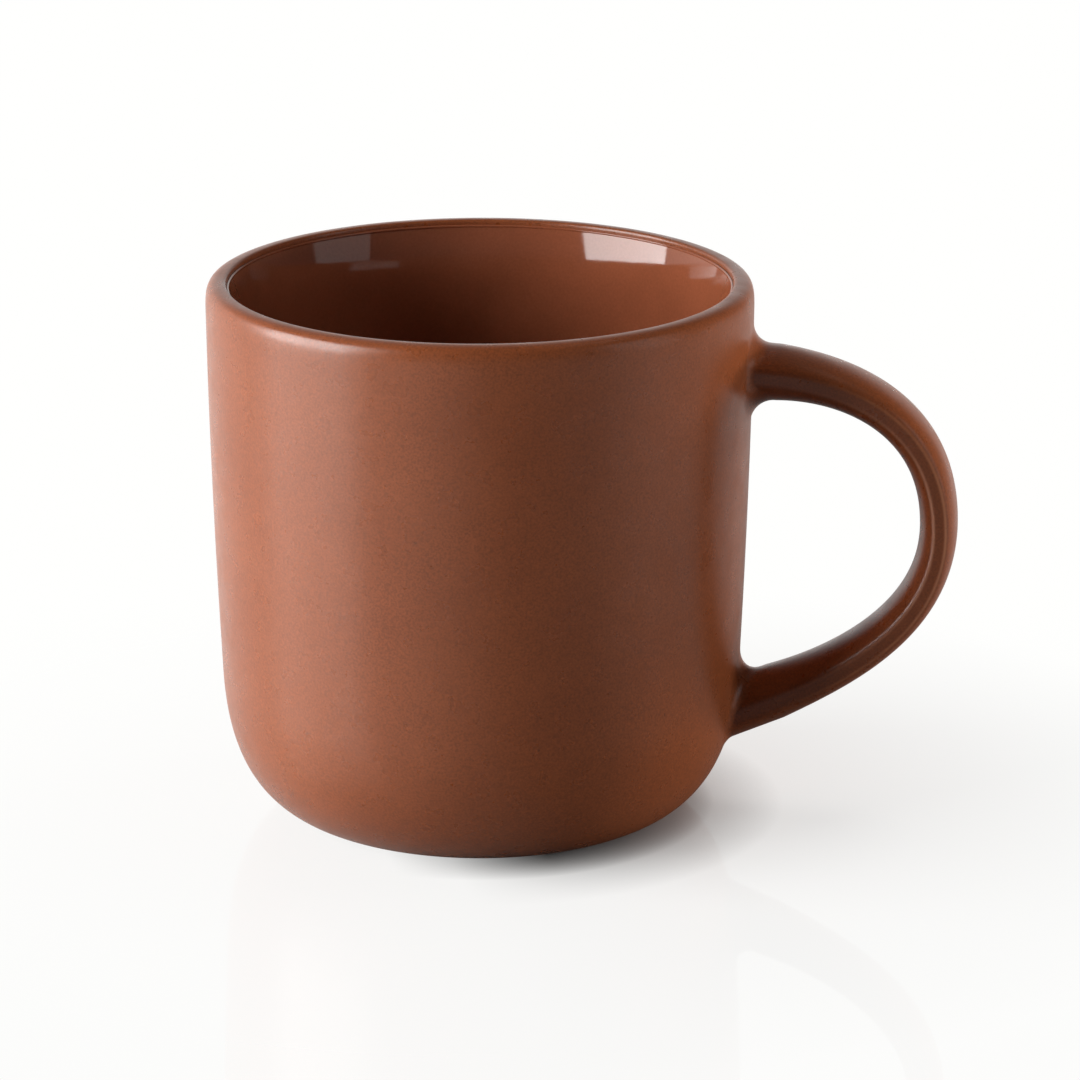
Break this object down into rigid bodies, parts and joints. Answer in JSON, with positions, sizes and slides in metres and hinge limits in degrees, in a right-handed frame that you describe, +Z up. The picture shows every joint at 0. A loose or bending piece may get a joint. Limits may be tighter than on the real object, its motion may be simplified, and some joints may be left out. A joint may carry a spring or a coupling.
{
  "type": "mug",
  "caption": "Stoneware mug with a gently tapered round body, a full rounded base, a rounded lip, a gloss-glazed inside and a D-shaped loop handle, for hot drinks.",
  "frame": {"origin": "on the vessel's axis, in the plane of the foot ring that the mug stands on", "axes": "+Z up along the vessel's axis, +X from the axis out through the middle of the handle"},
  "size_m": [0.124, 0.09, 0.0905],
  "materials": {
    "stoneware": "matt, fine-grained, brown",
    "gloss_glaze": "gloss, brown",
    "luting_slip": "matt, smoothed by hand"
  },
  "bodies": {
    "root": {"body": "stoneware", "liner_glaze": "gloss_glaze", "handle": "stoneware", "upper_slip_joint": "luting_slip", "lower_slip_joint": "luting_slip"}
  },
  "joints": []
}
